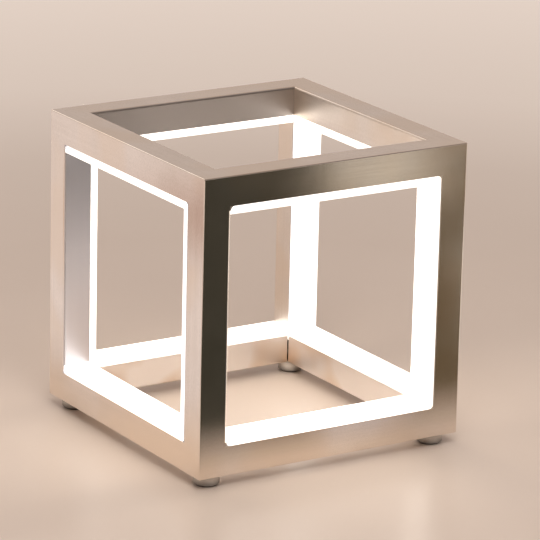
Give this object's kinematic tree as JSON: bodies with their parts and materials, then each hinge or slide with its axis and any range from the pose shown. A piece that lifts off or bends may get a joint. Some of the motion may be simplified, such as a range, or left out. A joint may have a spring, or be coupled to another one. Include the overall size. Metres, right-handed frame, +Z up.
{
  "type": "led cube light",
  "caption": "Free-standing light shaped as an open cube: welded metal channels along every edge, opal glowing diffusers facing into the windows, round rubber feet.",
  "frame": {"origin": "on the floor, below the middle of the cube", "axes": "+Z up; the front window faces -Y, the left window faces -X"},
  "size_m": [0.2, 0.2, 0.208],
  "materials": {
    "frame_metal": "satin brushed, warm nickel tone",
    "opal_diffuser": "opal, lit evenly from behind",
    "led_board": "white solder mask",
    "led_chip": "phosphor window",
    "wire_insulation": "satin",
    "grommet_rubber": "matte",
    "terminal_plastic": "satin",
    "foot_rubber": "matte, slightly translucent grey",
    "adhesive": "matte foam tape"
  },
  "bodies": {
    "root": {"bottom_channel_back": "frame_metal", "bottom_channel_front": "frame_metal", "bottom_channel_left": "frame_metal", "bottom_channel_right": "frame_metal", "bottom_diffuser_back": "opal_diffuser", "bottom_diffuser_front": "opal_diffuser", "bottom_diffuser_left": "opal_diffuser", "bottom_diffuser_right": "opal_diffuser", "bottom_led_board_back": "led_board", "bottom_led_board_front": "led_board", "bottom_led_board_left": "led_board", "bottom_led_board_right": "led_board", "bottom_led_chips_back": "led_chip", "bottom_led_chips_front": "led_chip", "bottom_led_chips_left": "led_chip", "bottom_led_chips_right": "led_chip", "bottom_link_wires": "wire_insulation", "cord_grommet": "grommet_rubber", "foot_adhesive_discs": "adhesive", "foot_back_left": "foot_rubber", "foot_back_right": "foot_rubber", "foot_front_left": "foot_rubber", "foot_front_right": "foot_rubber", "riser_link_wires": "wire_insulation", "supply_terminal": "terminal_plastic", "top_channel_back": "frame_metal", "top_channel_front": "frame_metal", "top_channel_left": "frame_metal", "top_channel_right": "frame_metal", "top_diffuser_back": "opal_diffuser", "top_diffuser_front": "opal_diffuser", "top_diffuser_left": "opal_diffuser", "top_diffuser_right": "opal_diffuser", "top_led_board_back": "led_board", "top_led_board_front": "led_board", "top_led_board_left": "led_board", "top_led_board_right": "led_board", "top_led_chips_back": "led_chip", "top_led_chips_front": "led_chip", "top_led_chips_left": "led_chip", "top_led_chips_right": "led_chip", "upright_channel_back_left": "frame_metal", "upright_channel_back_right": "frame_metal", "upright_channel_front_left": "frame_metal", "upright_channel_front_right": "frame_metal", "upright_diffuser_back_left": "opal_diffuser", "upright_diffuser_back_right": "opal_diffuser", "upright_diffuser_front_left": "opal_diffuser", "upright_diffuser_front_right": "opal_diffuser", "upright_led_board_back_left": "led_board", "upright_led_board_back_right": "led_board", "upright_led_board_front_left": "led_board", "upright_led_board_front_right": "led_board", "upright_led_chips_back_left": "led_chip", "upright_led_chips_back_right": "led_chip", "upright_led_chips_front_left": "led_chip", "upright_led_chips_front_right": "led_chip"}
  },
  "joints": []
}
